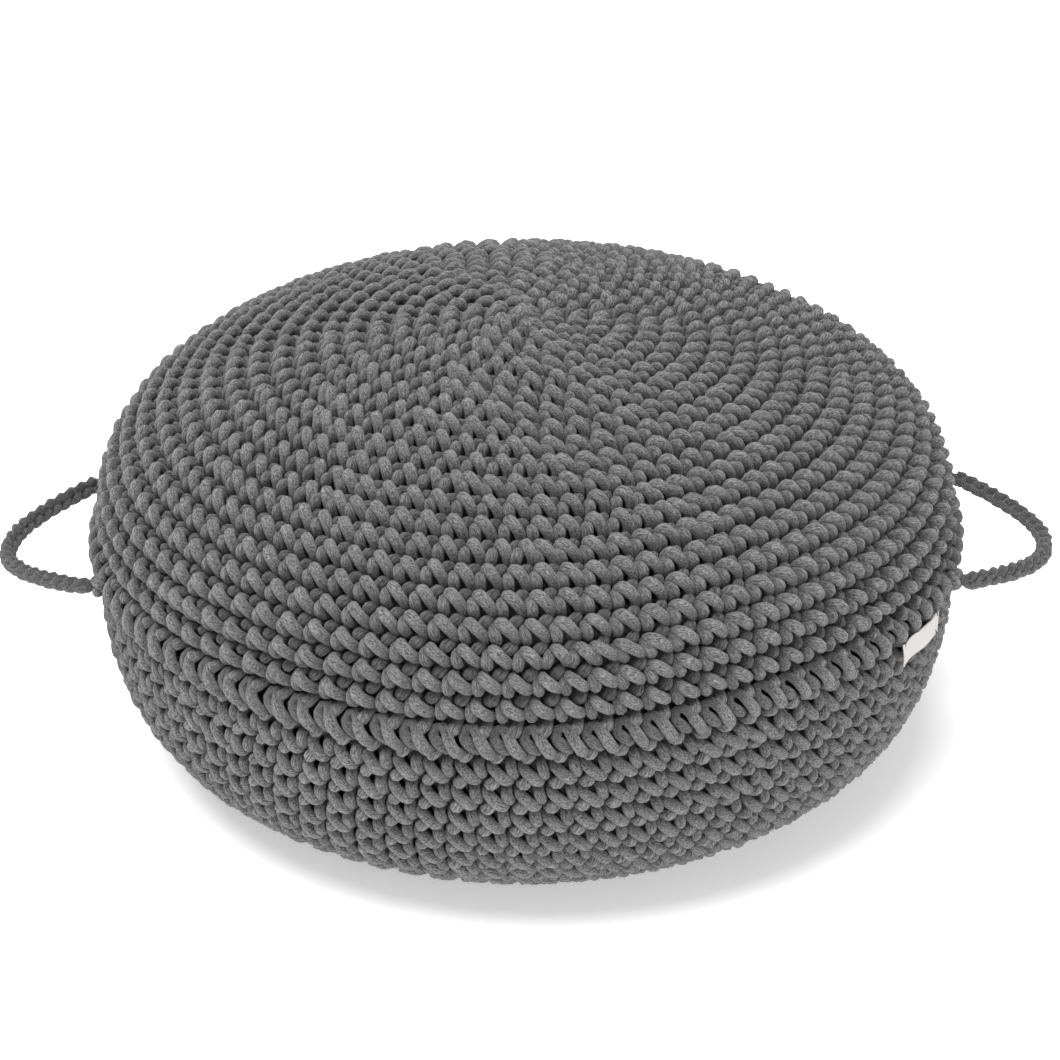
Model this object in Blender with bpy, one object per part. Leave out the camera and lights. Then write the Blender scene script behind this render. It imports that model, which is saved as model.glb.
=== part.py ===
"""Round crocheted floor cushion: two covers joined by a braid, rope handles, label, lining, filling.

Metres throughout. +Z is up and the front is -Y. The origin is the centre of the foot, on the floor.
"""

import math

import bmesh
import bpy
from mathutils import Vector

# Outside of the cover
COVER_RADIUS = 0.247  # where the cushion is widest, at the seam between the two covers
CROWN_RISE = 0.1395  # from the seam up to the crown
SEAM_HEIGHT = 0.134  # from the floor up to the seam
FOOT_RADIUS = 0.135  # flat round that the cushion stands on
CROWN_POWERS = (1.5, 3.1)  # fullness of the upper curve, across and up
FOOT_POWERS = (2.3, 2.4)  # fullness of the lower curve, across and down

# Layers, from the outside in
COVER_THICKNESS = 0.012
LINING_THICKNESS = 0.0012
CLEARANCE = 0.0003  # left between any two pieces that touch
LINING_TOP_SHARE = 0.5  # share of the upper curve, from the crown, that the top panel covers
LINING_BASE_SHARE = 0.5  # share of the lower curve, from the foot, that the base panel covers

# Braid that joins the covers
BRAID_WIDTH = 0.010
BRAID_RISE = 0.0045

# Rope handles
ROPE_RADIUS = 0.0047
KNOT_RADIUS = 0.006  # rounded end of the rope, seated on the braid
HANDLE_SPREAD = math.radians(28)  # round the cushion, from one end of the rope to the other
HANDLE_REACH = 0.0506  # from the line through the two ends out to the middle of the rope
HANDLE_LEAD = math.radians(4)  # how far each handle sits forward of the widest line
HANDLE_DROOP = math.radians(10)  # how far the loop hangs below level at rest

# Label under the braid
LABEL_LENGTH = 0.040
LABEL_HEIGHT = 0.014
LABEL_THICKNESS = 0.001
LABEL_ANGLE = math.radians(-31)  # from +X, towards the front
TACK_LENGTH = 0.003
TACK_RADIUS = 0.0004
TACK_INSET = 0.0022  # from the label's ends and edges to the middle of a tack

# Fineness of the faceted solids
ROUND_STEPS = 48
CURVE_STEPS = 8
BRAID_SIDES = 6
ROPE_STEPS = 36
ROPE_SIDES = 12
KNOT_STEPS = 4
LABEL_STEPS = 8
LABEL_ROWS = 3
TACK_SIDES = 8

YARN_GREY = (0.135, 0.135, 0.135)
LABEL_WHITE = (0.78, 0.75, 0.71)
THREAD_GREY = (0.2, 0.2, 0.2)
LINING_CHARCOAL = (0.03, 0.03, 0.03)  # dark, so that it does not show between the stitches
FILLING_WHITE = (0.8, 0.8, 0.78)

QUARTER = math.pi / 2


def cloth(name, colour, roughness):
    """A matte fabric finish."""
    material = bpy.data.materials.new(name)
    material.use_nodes = True
    shader = material.node_tree.nodes["Principled BSDF"]
    shader.inputs["Base Color"].default_value = (*colour, 1.0)
    shader.inputs["Roughness"].default_value = roughness
    shader.inputs["Metallic"].default_value = 0.0
    return material


def add_object(name, solid, material, origin=(0, 0, 0)):
    """Store a finished bmesh as an object whose own origin is at the given place."""
    bmesh.ops.translate(solid, verts=solid.verts, vec=-Vector(origin))
    bmesh.ops.recalc_face_normals(solid, faces=solid.faces)
    mesh = bpy.data.meshes.new(name)
    solid.to_mesh(mesh)
    solid.free()
    mesh.shade_smooth()
    mesh.set_sharp_from_angle(angle=math.radians(40))
    mesh.materials.append(material)
    part = bpy.data.objects.new(name, mesh)
    part.location = origin
    bpy.context.collection.objects.link(part)
    return part


def bridge(solid, first, second, closed=True):
    """Faces between two rows of vertices, where a row of one is a point on the axis."""
    count = max(len(first), len(second))
    for near in range(count if closed else count - 1):
        far = (near + 1) % count
        if len(first) == 1:
            solid.faces.new((first[0], second[far], second[near]))
        elif len(second) == 1:
            solid.faces.new((first[near], first[far], second[0]))
        else:
            solid.faces.new((first[near], first[far], second[far], second[near]))


def turn(name, outline, material, steps=ROUND_STEPS):
    """Turn a closed outline of (radius, height) points about the upright axis."""
    solid = bmesh.new()
    rings = []
    for radius, height in outline:
        if radius == 0:
            rings.append([solid.verts.new((0, 0, height))])
            continue
        ring = []
        for step in range(steps):
            angle = 2 * math.pi * step / steps
            ring.append(solid.verts.new((radius * math.cos(angle), radius * math.sin(angle), height)))
        rings.append(ring)
    for first, second in zip(rings, rings[1:] + rings[:1]):
        if len(first) > 1 or len(second) > 1:
            bridge(solid, first, second)
    return add_object(name, solid, material)


def bulge(angle, powers, across, rise):
    """A point on a full round curve and its outward direction: angle 0 is the widest place."""
    across_power, rise_power = powers
    out = math.cos(angle) ** (2 / across_power) if angle < QUARTER else 0.0
    up = math.sin(angle) ** (2 / rise_power)
    outward_across = across_power / across * out ** (across_power - 1)
    outward_up = rise_power / rise * up ** (rise_power - 1)
    return Vector((out * across, up * rise)), Vector((outward_across, outward_up)).normalized()


def upper_curve(inset):
    """The cushion's outline from the seam up to the crown, moved inwards by inset."""
    points = []
    for step in range(CURVE_STEPS + 1):
        angle = QUARTER * step / CURVE_STEPS
        place, outward = bulge(angle, CROWN_POWERS, COVER_RADIUS, CROWN_RISE)
        place -= outward * inset
        points.append((place.x, SEAM_HEIGHT + place.y))
    points[-1] = (0, SEAM_HEIGHT + CROWN_RISE - inset)
    return points


def lower_curve(inset):
    """The cushion's outline from the seam down to the foot and its centre, moved inwards by inset."""
    points = []
    for step in range(CURVE_STEPS + 1):
        angle = QUARTER * step / CURVE_STEPS
        place, outward = bulge(angle, FOOT_POWERS, COVER_RADIUS - FOOT_RADIUS, SEAM_HEIGHT)
        place -= outward * inset
        points.append((FOOT_RADIUS + place.x, SEAM_HEIGHT - place.y))
    return points + [(0, inset)]


def layer(outer, inner):
    """Close two open curves, outer and inner, into one wall."""
    return outer + inner[::-1]


def trim(points, at_start, at_end):
    """Shorten a curve's first and last straight stretch by half the clearance, where asked."""
    points = [Vector(point) for point in points]
    if at_start:
        points[0] += (points[1] - points[0]).normalized() * CLEARANCE / 2
    if at_end:
        points[-1] += (points[-2] - points[-1]).normalized() * CLEARANCE / 2
    return [tuple(point) for point in points]


def make_covers(yarn):
    """The two crocheted covers, whose rims meet at the seam."""
    outer, inner = upper_curve(0), upper_curve(COVER_THICKNESS)
    turn("upper_cover", layer(trim(outer, True, False), trim(inner, True, False)), yarn)
    outer, inner = lower_curve(0), lower_curve(COVER_THICKNESS)
    turn("base_cover", layer(trim(outer, True, False), trim(inner, True, False)), yarn)


def make_lining(lining_cloth):
    """The sewn lining: a round top panel, a side band and a round base panel, edge to edge."""
    outside = COVER_THICKNESS + CLEARANCE
    inside = outside + LINING_THICKNESS
    top_seam = CURVE_STEPS - round(CURVE_STEPS * LINING_TOP_SHARE)
    base_seam = CURVE_STEPS - round(CURVE_STEPS * LINING_BASE_SHARE)

    top = [trim(upper_curve(inset)[top_seam:], True, False) for inset in (outside, inside)]
    turn("lining_top_panel", layer(*top), lining_cloth)

    band = []
    for inset in (outside, inside):
        side = upper_curve(inset)[top_seam:0:-1] + lower_curve(inset)[: base_seam + 1]
        band.append(trim(side, True, True))
    turn("lining_side_band", layer(*band), lining_cloth)

    base = [trim(lower_curve(inset)[base_seam:], True, False) for inset in (outside, inside)]
    turn("lining_base_panel", layer(*base), lining_cloth)


def make_filling(filling):
    """The loose filling as one solid that fills the lining."""
    inset = COVER_THICKNESS + LINING_THICKNESS + 2 * CLEARANCE
    turn("filling", upper_curve(inset)[::-1] + lower_curve(inset)[1:], filling)


def make_braid(yarn):
    """The raised braid that closes the seam, a ring with a half-round outside."""
    seat = COVER_RADIUS + CLEARANCE
    outline = []
    for side in range(BRAID_SIDES + 1):
        angle = math.pi * side / BRAID_SIDES - QUARTER
        height = SEAM_HEIGHT + BRAID_WIDTH / 2 * math.sin(angle)
        outline.append((seat + BRAID_RISE * math.cos(angle), height))
    turn("seam_braid", outline, yarn, 2 * ROUND_STEPS)


def rope_stations(half_span):
    """Places along the rope in its own plane, as (out, along, out step, along step, radius)."""
    stations = []
    for step in range(ROPE_STEPS + 1):
        along = half_span * (2 * step / ROPE_STEPS - 1)
        out = HANDLE_REACH * (1 - (along / half_span) ** 2)
        lean = -2 * HANDLE_REACH * along / half_span**2
        length = math.hypot(lean, 1)
        from_end = min(math.dist((out, along), (0, side * half_span)) for side in (-1, 1))
        swell = max(0.0, 1 - from_end / (2 * KNOT_RADIUS))
        radius = ROPE_RADIUS + (KNOT_RADIUS - ROPE_RADIUS) * swell
        stations.append((out, along, lean / length, 1 / length, radius))
    return stations


def make_handle(name, middle_angle, yarn):
    """One rope handle: a loop whose rounded ends sit on the braid, made about the line through them."""
    seat = COVER_RADIUS + CLEARANCE + BRAID_RISE + CLEARANCE + KNOT_RADIUS
    middle = Vector((math.cos(middle_angle), math.sin(middle_angle), 0))
    along = Vector((-middle.y, middle.x, 0))
    hinge = middle * seat * math.cos(HANDLE_SPREAD / 2) + Vector((0, 0, SEAM_HEIGHT))
    out = middle * math.cos(HANDLE_DROOP) - Vector((0, 0, 1)) * math.sin(HANDLE_DROOP)
    across = out.cross(along)

    stations = rope_stations(seat * math.sin(HANDLE_SPREAD / 2))
    rows = []
    for out_at, along_at, out_step, along_step, radius in stations:
        rows.append((hinge + out * out_at + along * along_at, out * out_step + along * along_step, radius))
    caps = []
    for (centre, ahead, radius), sign in ((rows[0], -1), (rows[-1], 1)):
        cap = []
        for step in range(1, KNOT_STEPS):
            tilt = QUARTER * step / KNOT_STEPS
            cap.append((centre + ahead * sign * radius * math.sin(tilt), ahead, radius * math.cos(tilt)))
        caps.append((cap, centre + ahead * sign * radius))
    (first_cap, first_point), (last_cap, last_point) = caps

    solid = bmesh.new()
    rings = [[solid.verts.new(first_point)]]
    for centre, ahead, radius in first_cap[::-1] + rows + last_cap:
        side = ahead.cross(across)
        ring = []
        for step in range(ROPE_SIDES):
            angle = 2 * math.pi * step / ROPE_SIDES
            spoke = across * math.cos(angle) + side * math.sin(angle)
            ring.append(solid.verts.new(centre + spoke * radius))
        rings.append(ring)
    rings.append([solid.verts.new(last_point)])
    for first, second in zip(rings, rings[1:]):
        bridge(solid, first, second)
    return add_object(name, solid, yarn, origin=hinge)


def wall_radius(height):
    """Outside radius of the base cover's facets at a height below the seam."""
    points = lower_curve(0)
    for (upper_radius, upper_height), (lower_radius, lower_height) in zip(points, points[1:]):
        if upper_height >= height >= lower_height:
            share = (upper_height - height) / (upper_height - lower_height)
            return upper_radius + (lower_radius - upper_radius) * share
    raise ValueError("the label reaches below the foot")


def label_place(along, down, lift):
    """A place on the label: along it from its middle, down from its top edge, lift off the cover."""
    height = SEAM_HEIGHT - BRAID_WIDTH / 2 - CLEARANCE - down
    radius = wall_radius(height) + CLEARANCE + lift
    angle = LABEL_ANGLE + along / COVER_RADIUS
    return Vector((radius * math.cos(angle), radius * math.sin(angle), height))


def make_label(tape):
    """The woven label, a thin curved plate that lies on the base cover just under the braid."""
    solid = bmesh.new()
    layers = []
    for lift in (0, LABEL_THICKNESS):
        rows = []
        for row in range(LABEL_ROWS + 1):
            down = LABEL_HEIGHT * row / LABEL_ROWS
            places = [LABEL_LENGTH * (step / LABEL_STEPS - 0.5) for step in range(LABEL_STEPS + 1)]
            rows.append([solid.verts.new(label_place(along, down, lift)) for along in places])
        layers.append(rows)
    for rows in layers:
        for first, second in zip(rows, rows[1:]):
            bridge(solid, first, second, closed=False)
    back, face = layers
    for row in (0, -1):
        bridge(solid, back[row], face[row], closed=False)
    for end in (0, -1):
        bridge(solid, [row[end] for row in back], [row[end] for row in face], closed=False)
    add_object("label", solid, tape)


def make_tacks(thread):
    """A short stitch of thread over each corner of the label."""
    lift = LABEL_THICKNESS + CLEARANCE + TACK_RADIUS
    names = ("label_tack_front_top", "label_tack_front_low", "label_tack_rear_top", "label_tack_rear_low")
    corners = [(end, edge) for end in (-1, 1) for edge in (-1, 1)]
    for name, (end, edge) in zip(names, corners):
        along = end * (LABEL_LENGTH / 2 - TACK_INSET)
        down = LABEL_HEIGHT / 2 + edge * (LABEL_HEIGHT / 2 - TACK_INSET)
        half = TACK_LENGTH / 2 - TACK_RADIUS
        ends = [label_place(along, down + reach, lift) for reach in (-half, half)]
        ahead = (ends[1] - ends[0]).normalized()
        outward = Vector((ends[0].x, ends[0].y, 0)).normalized()
        side = ahead.cross(outward)
        solid = bmesh.new()
        rings = [[solid.verts.new(ends[0] - ahead * TACK_RADIUS)]]
        for centre in ends:
            ring = []
            for step in range(TACK_SIDES):
                angle = 2 * math.pi * step / TACK_SIDES
                spoke = outward * math.cos(angle) + side * math.sin(angle)
                ring.append(solid.verts.new(centre + spoke * TACK_RADIUS))
            rings.append(ring)
        rings.append([solid.verts.new(ends[1] + ahead * TACK_RADIUS)])
        for first, second in zip(rings, rings[1:]):
            bridge(solid, first, second)
        add_object(name, solid, thread, origin=(ends[0] + ends[1]) / 2)


def build():
    """Model the whole cushion."""
    for old in list(bpy.data.objects):
        bpy.data.objects.remove(old, do_unlink=True)
    make_covers(cloth("cover_yarn", YARN_GREY, 0.95))
    make_braid(cloth("braid_yarn", YARN_GREY, 0.95))
    rope = cloth("handle_rope", YARN_GREY, 0.93)
    make_handle("handle_right", -HANDLE_LEAD, rope)
    make_handle("handle_left", math.pi + HANDLE_LEAD, rope)
    make_label(cloth("label_tape", LABEL_WHITE, 0.8))
    make_tacks(cloth("label_thread", THREAD_GREY, 0.8))
    make_lining(cloth("lining_cloth", LINING_CHARCOAL, 0.9))
    make_filling(cloth("filling_beads", FILLING_WHITE, 0.9))


build()
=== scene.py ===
"""Crocheted floor cushion: two crocheted covers, their joining round, cord handles, label and inner cushion.

Lengths are metres. Up is +Z and the front is -Y.
"""

import math

import bpy
import numpy as np
from bpy.props import FloatProperty, FloatVectorProperty, IntProperty, PointerProperty
from mathutils import Matrix, Vector


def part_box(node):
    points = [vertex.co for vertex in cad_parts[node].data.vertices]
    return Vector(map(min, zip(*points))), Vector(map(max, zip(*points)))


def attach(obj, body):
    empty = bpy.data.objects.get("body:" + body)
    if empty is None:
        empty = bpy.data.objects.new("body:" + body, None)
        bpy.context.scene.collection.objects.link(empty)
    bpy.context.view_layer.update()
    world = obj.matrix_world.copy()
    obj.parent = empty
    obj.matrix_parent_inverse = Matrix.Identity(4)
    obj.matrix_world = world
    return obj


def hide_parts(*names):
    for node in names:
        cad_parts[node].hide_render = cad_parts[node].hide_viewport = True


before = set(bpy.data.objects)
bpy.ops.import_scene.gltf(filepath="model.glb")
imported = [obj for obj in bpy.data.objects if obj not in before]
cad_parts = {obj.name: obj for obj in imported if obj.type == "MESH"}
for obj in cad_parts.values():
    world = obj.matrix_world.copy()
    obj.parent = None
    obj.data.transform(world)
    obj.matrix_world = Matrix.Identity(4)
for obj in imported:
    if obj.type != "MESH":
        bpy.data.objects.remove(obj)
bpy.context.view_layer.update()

bl_info = {
    "name": "Crocheted Floor Cushion",
    "version": (1, 0, 0),
    "blender": (4, 5, 0),
    "location": "3D View > Sidebar > Floor Cushion",
    "description": "Crochets a round floor cushion with cord handles and a cloth label",
    "category": "Add Mesh",
}

COVER_LOW, COVER_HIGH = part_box("upper_cover")
WHITE = (1.0, 1.0, 1.0)

# Fullness of the cushion's outline, across and up, above and below its widest line
CROWN_POWERS = (1.42, 3.0)
FOOT_POWERS = (2.0, 3.0)

# One single crochet, as the yarn runs through it. Each row is (across, up, out, thickness, steps). Across and
# up are in stitch widths and rows from the stitch's middle, out is away from the cushion, and the work goes
# towards minus across. Steps is how finely the yarn is drawn up to the next row.
SINGLE_CROCHET = (
    # down behind the stitch
    (0.04, 0.30, -0.44, 0.95, 1),
    (0.14, 0.02, -0.46, 0.95, 1),
    (0.13, -0.26, -0.42, 0.9, 1),
    # upright leg, a short plump oval
    (0.09, -0.26, -0.20, 0.92, 1),
    (0.06, -0.22, 0.07, 0.98, 2),
    (0.03, -0.08, 0.22, 1.02, 2),
    (0.00, 0.07, 0.21, 1.02, 2),
    (-0.02, 0.18, 0.04, 0.97, 2),
    (-0.04, 0.20, -0.22, 0.88, 1),
    # behind the top loop
    (-0.16, 0.24, -0.42, 0.92, 1),
    (-0.42, 0.24, -0.44, 0.92, 1),
    # slanting leg, plump at its outer end
    (-0.64, 0.16, -0.30, 0.9, 1),
    (-0.66, 0.12, -0.06, 0.98, 2),
    (-0.61, 0.03, 0.14, 1.03, 2),
    (-0.49, -0.09, 0.28, 1.06, 2),
    (-0.35, -0.22, 0.36, 1.09, 2),
    (-0.21, -0.34, 0.37, 1.08, 2),
    (-0.12, -0.40, 0.22, 1.02, 2),
    (-0.09, -0.41, -0.04, 0.92, 1),
    (-0.11, -0.34, -0.32, 0.88, 1),
    # up behind the stitch
    (-0.24, -0.06, -0.42, 1.0, 1),
    (-0.32, 0.22, -0.42, 1.0, 1),
    (-0.28, 0.52, -0.44, 0.9, 1),
    # top loop, a round knuckle between two stitches of the next round
    (-0.33, 0.60, -0.26, 0.95, 1),
    (-0.38, 0.58, -0.02, 1.02, 2),
    (-0.46, 0.51, 0.09, 1.06, 2),
    (-0.54, 0.43, -0.02, 1.02, 1),
    (-0.58, 0.38, -0.25, 0.92, 1),
    (-0.76, 0.34, -0.44, 0.9, 1),
)

# One stitch of the joining round, in the same way, from the middle of its slanting leg
JOINING_STITCH = (
    (0.26, -0.42, -0.28, 0.95, 1),
    (0.20, -0.34, -0.04, 1.0, 2),
    (0.11, -0.18, 0.16, 1.05, 2),
    (0.00, 0.02, 0.23, 1.08, 2),
    (-0.12, 0.22, 0.18, 1.05, 2),
    (-0.23, 0.40, 0.00, 1.0, 1),
    (-0.38, 0.50, -0.26, 0.95, 1),
    (-0.62, 0.40, -0.30, 0.92, 1),
    (-0.70, 0.20, -0.12, 0.95, 2),
    (-0.56, 0.05, -0.02, 1.0, 2),
    (-0.40, -0.10, -0.02, 1.0, 1),
    (-0.24, -0.26, -0.14, 0.95, 1),
    (-0.16, -0.36, -0.36, 0.9, 1),
    (-0.45, -0.38, -0.50, 0.88, 1),
    (-0.66, -0.44, -0.42, 0.9, 1),
)

# One link of the handles' chain-stitch cord. Each row is (along, side, front, thickness, steps) in links. The
# yarn comes up through the link before, runs out round one side of this link and back down the other.
CHAIN_LINK = (
    (0.00, -0.08, -0.22, 0.9, 1),
    (0.08, -0.20, 0.00, 0.95, 1),
    (0.40, -0.30, 0.12, 1.0, 2),
    (0.80, -0.32, 0.10, 1.04, 2),
    (1.08, -0.22, 0.00, 1.0, 1),
    (1.22, 0.02, 0.00, 0.96, 1),
    (1.12, 0.22, 0.12, 1.02, 1),
    (0.82, 0.26, 0.28, 1.1, 2),
    (0.45, 0.16, 0.30, 1.08, 2),
    (0.12, 0.06, 0.12, 0.98, 1),
    (0.00, 0.06, -0.20, 0.92, 1),
    (0.35, 0.14, -0.32, 1.05, 1),
    (0.75, -0.10, -0.32, 1.05, 1),
)

# Where the seam wanders from level: each row is (angle round the cushion, width of the stretch, drop), in
# degrees and metres. The further from the seam stitches lie, the less they follow it.
WANDER_REACH = 0.11
SEAM_WANDER = (
    (-51, 24, -0.0042),
    (-98, 26, 0.0026),
    (38, 26, 0.0020),
    (128, 30, -0.0030),
    (205, 24, 0.0015),
)

# Last rounds of the pieces that a cover is made in, but for its last piece. The rounds in the middle of the
# foot are drawn coarsely, because it stands on them.
UPPER_SPLITS = (9, 13, 16, 18, 20)
BASE_SPLITS = (10, 14, 16, 18)
COARSE_ROUNDS = 8

# Sides of the tubes that stand for yarn, in the covers and in the handles
COVER_SIDES = 8
HANDLE_SIDES = 10

# Widths of a yarn's strands and of woven threads, and how fast strands wind round a yarn, in radians a metre
STRAND_WIDTH = 0.0006
TAPE_THREAD = 0.0006
LINING_THREAD = 0.0008
COVER_TWIST = 55.0
HANDLE_TWIST = 90.0

# The camera's angle above level, distance from the cushion, focal length in millimetres, shift and roll
CAMERA_LIFT = math.radians(28.5)
CAMERA_DISTANCE = 2.0
CAMERA_LENS = 116.8
CAMERA_SHIFT = (0.0036, -0.0132)
CAMERA_ROLL = math.radians(-0.4)

# Each lamp's kind, name, place, power, and the settings that soften it
LAMPS = (
    ("SUN", "overhead", (-0.6, -0.5, 3.0), 4.3, {"angle": math.radians(40)}),
    ("AREA", "front", (0.5, -2.3, 0.8), 20.0, {"shape": "DISK", "size": 1.8}),
)
ROOM_LIGHT = 0.42
FLOOR_GLOW = 0.38
FLOOR_RADIUS = 6.0


class CushionShape(bpy.types.PropertyGroup):
    """Sizes of the whole cushion"""

    radius: FloatProperty(
        name="Radius", description="Half the cushion's width at the seam, over the stitches",
        default=COVER_HIGH.x + 0.002, unit="LENGTH",
    )
    seam_height: FloatProperty(
        name="Seam Height", description="Height of the joining round above the floor",
        default=COVER_LOW.z, unit="LENGTH",
    )
    crown_height: FloatProperty(
        name="Crown Height", description="Height of the middle of the top",
        default=COVER_HIGH.z - 0.0045, unit="LENGTH",
    )
    foot_radius: FloatProperty(
        name="Foot Radius", description="Half the width of the flat round that the cushion stands on",
        default=0.147, unit="LENGTH",
    )
    lining_depth: FloatProperty(
        name="Lining Depth", description="How far the inner cushion lies under the outside of the stitches",
        default=0.0195, unit="LENGTH",
    )


class CushionCrochet(bpy.types.PropertyGroup):
    """How the covers are crocheted"""

    yarn_radius: FloatProperty(
        name="Yarn Radius", description="Half the thickness of the yarn", default=0.00316, unit="LENGTH",
    )
    stitch_size: FloatProperty(
        name="Stitch Size", description="Width of a stitch, by which its depth is drawn",
        default=0.0158, unit="LENGTH",
    )
    start_stitches: IntProperty(
        name="Start Stitches",
        description="Stitches in the first round, and how many each growing round adds",
        default=6,
    )
    growing_rounds: IntProperty(
        name="Growing Rounds", description="Rounds that add stitches, after which the count stays the same",
        default=15,
    )
    late_rounds: IntProperty(
        name="Late Rounds", description="Last rounds before the seam, which add two stitches each", default=3,
    )
    tightness: FloatProperty(
        name="Tightness", description="How much lower than average the upper cover's first rounds are",
        default=0.1, subtype="FACTOR",
    )
    upper_rounds: IntProperty(
        name="Upper Rounds", description="Rounds from the crown to the seam", default=21,
    )
    base_rounds: IntProperty(
        name="Base Rounds", description="Rounds from the middle of the foot to the seam", default=20,
    )
    lean: FloatProperty(
        name="Lean", description="How far each round sits beside the one before, in stitches", default=0.16,
    )
    joining_height: FloatProperty(
        name="Joining Height", description="Height of the joining round", default=0.0165, unit="LENGTH",
    )
    upper_relief: FloatProperty(
        name="Upper Relief", description="Depth of the upper cover's stitches, against their width",
        default=1.16, subtype="FACTOR",
    )
    base_relief: FloatProperty(
        name="Base Relief", description="Depth of the base cover's stitches, against their width",
        default=1.0, subtype="FACTOR",
    )
    base_press: FloatProperty(
        name="Base Press", description="How proud the base cover's legs stand, against the upper cover's",
        default=0.55, subtype="FACTOR",
    )
    base_loop_lift: FloatProperty(
        name="Base Loop Lift", description="How much the base cover's top loops stand proud",
        default=0.0028, unit="LENGTH",
    )
    edge_lift: FloatProperty(
        name="Edge Lift", description="How much the top loops of the upper cover's last round stand proud",
        default=0.0062, unit="LENGTH",
    )
    joining_lift: FloatProperty(
        name="Joining Lift", description="How far the joining round lies outside the covers",
        default=0.0045, unit="LENGTH",
    )
    unevenness: FloatProperty(
        name="Unevenness", description="How far stitches stray from their places, in stitches", default=0.028,
    )


class CushionHandles(bpy.types.PropertyGroup):
    """The cord handles"""

    spread: FloatProperty(
        name="Spread", description="Angle round the cushion between a handle's two ends",
        default=math.radians(28), subtype="ANGLE",
    )
    lead: FloatProperty(
        name="Lead", description="How far each handle sits forward of the widest line",
        default=math.radians(4), subtype="ANGLE",
    )
    droop: FloatProperty(
        name="Droop", description="How far the handles hang below level",
        default=math.radians(10), subtype="ANGLE",
    )
    reach: FloatProperty(
        name="Reach", description="From the line through a handle's two ends out to its middle",
        default=0.0506, unit="LENGTH",
    )
    seat: FloatProperty(
        name="Seat", description="From the cushion's axis to the ends of a handle",
        default=0.2581, unit="LENGTH",
    )
    thickness: FloatProperty(
        name="Thickness", description="Thickness of the crocheted cord", default=0.0094, unit="LENGTH",
    )
    link: FloatProperty(
        name="Link", description="Length of cord that one chain stitch adds", default=0.0077, unit="LENGTH",
    )
    yarn_radius: FloatProperty(
        name="Handle Yarn Radius", description="Half the thickness of the cord's own yarn",
        default=0.0026, unit="LENGTH",
    )
    knot_size: FloatProperty(
        name="Knot Size", description="Size of the knots that tie the handles on",
        default=0.0015, unit="LENGTH",
    )
    knot_depth: FloatProperty(
        name="Knot Depth", description="How far inside a handle's end its knot lies",
        default=0.0055, unit="LENGTH",
    )


class CushionLabel(bpy.types.PropertyGroup):
    """The cloth label under the seam"""

    width: FloatProperty(name="Width", description="Length of the tape", default=0.0465, unit="LENGTH")
    height: FloatProperty(name="Height", description="Width of the tape", default=0.013, unit="LENGTH")
    thickness: FloatProperty(
        name="Label Thickness", description="Thickness of the folded tape", default=0.0008, unit="LENGTH",
    )
    angle: FloatProperty(
        name="Label Angle", description="Place round the cushion, from its right-hand side",
        default=math.radians(-30.3), subtype="ANGLE",
    )
    gap: FloatProperty(
        name="Gap", description="From the middle of the seam down to the tape", default=0.0053, unit="LENGTH",
    )
    lift: FloatProperty(
        name="Lift", description="How far the tape lies off the stitches", default=0.0022, unit="LENGTH",
    )
    thread_radius: FloatProperty(
        name="Thread Radius", description="Half the thickness of the thread", default=0.00036, unit="LENGTH",
    )


class CushionColours(bpy.types.PropertyGroup):
    """Colours of the cloths and yarns"""

    yarn: FloatVectorProperty(
        name="Yarn", description="Main colour of the yarn", default=(0.119, 0.119, 0.119), subtype="COLOR",
    )
    label: FloatVectorProperty(
        name="Label", description="Colour of the label's tape", default=(0.58, 0.555, 0.54), subtype="COLOR",
    )
    thread: FloatVectorProperty(
        name="Thread", description="Colour of the thread that holds the label",
        default=(0.05, 0.05, 0.05), subtype="COLOR",
    )
    lining: FloatVectorProperty(
        name="Lining", description="Colour of the inner cushion's cloth",
        default=(0.03, 0.03, 0.03), subtype="COLOR",
    )
    floor: FloatVectorProperty(
        name="Floor", description="Colour of the floor", default=(0.9, 0.9, 0.9), subtype="COLOR",
    )


# ---- Nodes ----


def maths(tree, operation, first, second=None):
    """The result of a sum whose sides are numbers or other results."""
    node = tree.nodes.new("ShaderNodeMath")
    node.operation = operation
    for socket, side in zip(node.inputs, (first, second)):
        if isinstance(side, bpy.types.NodeSocket):
            tree.links.new(side, socket)
        elif side is not None:
            socket.default_value = side
    return node.outputs[0]


def times(tree, first, second):
    """The product of two numbers or results."""
    return maths(tree, "MULTIPLY", first, second)


def set_inputs(node, values):
    """Sets a node's inputs by name."""
    for title, value in values.items():
        node.inputs[title].default_value = value


def noise(tree, vector, scale, detail, roughness=0.5):
    """A plain noise value over a vector."""
    node = tree.nodes.new("ShaderNodeTexNoise")
    set_inputs(node, {"Scale": scale, "Detail": detail, "Roughness": roughness})
    tree.links.new(vector, node.inputs["Vector"])
    return node.outputs["Fac"]


def stretch(tree, value, low, high, new_low=0.0, new_high=1.0):
    """A value moved from one range to another, and kept inside it."""
    node = tree.nodes.new("ShaderNodeMapRange")
    set_inputs(node, {"From Min": low, "From Max": high, "To Min": new_low, "To Max": new_high})
    tree.links.new(value, node.inputs["Value"])
    return node.outputs["Result"]


def split_vector(tree, vector):
    """The parts of a vector."""
    node = tree.nodes.new("ShaderNodeSeparateXYZ")
    tree.links.new(vector, node.inputs[0])
    return node.outputs


def combined(tree, *parts):
    """A vector of three results."""
    node = tree.nodes.new("ShaderNodeCombineXYZ")
    for part, socket in zip(parts, node.inputs):
        tree.links.new(part, socket)
    return node.outputs[0]


def mapped(tree, name):
    """The place on a piece's own map of that name."""
    node = tree.nodes.new("ShaderNodeUVMap")
    node.uv_map = name
    return node.outputs["UV"]


def shade(colour, factor):
    """A colour made darker or lighter."""
    return tuple(channel * factor for channel in colour)


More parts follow.
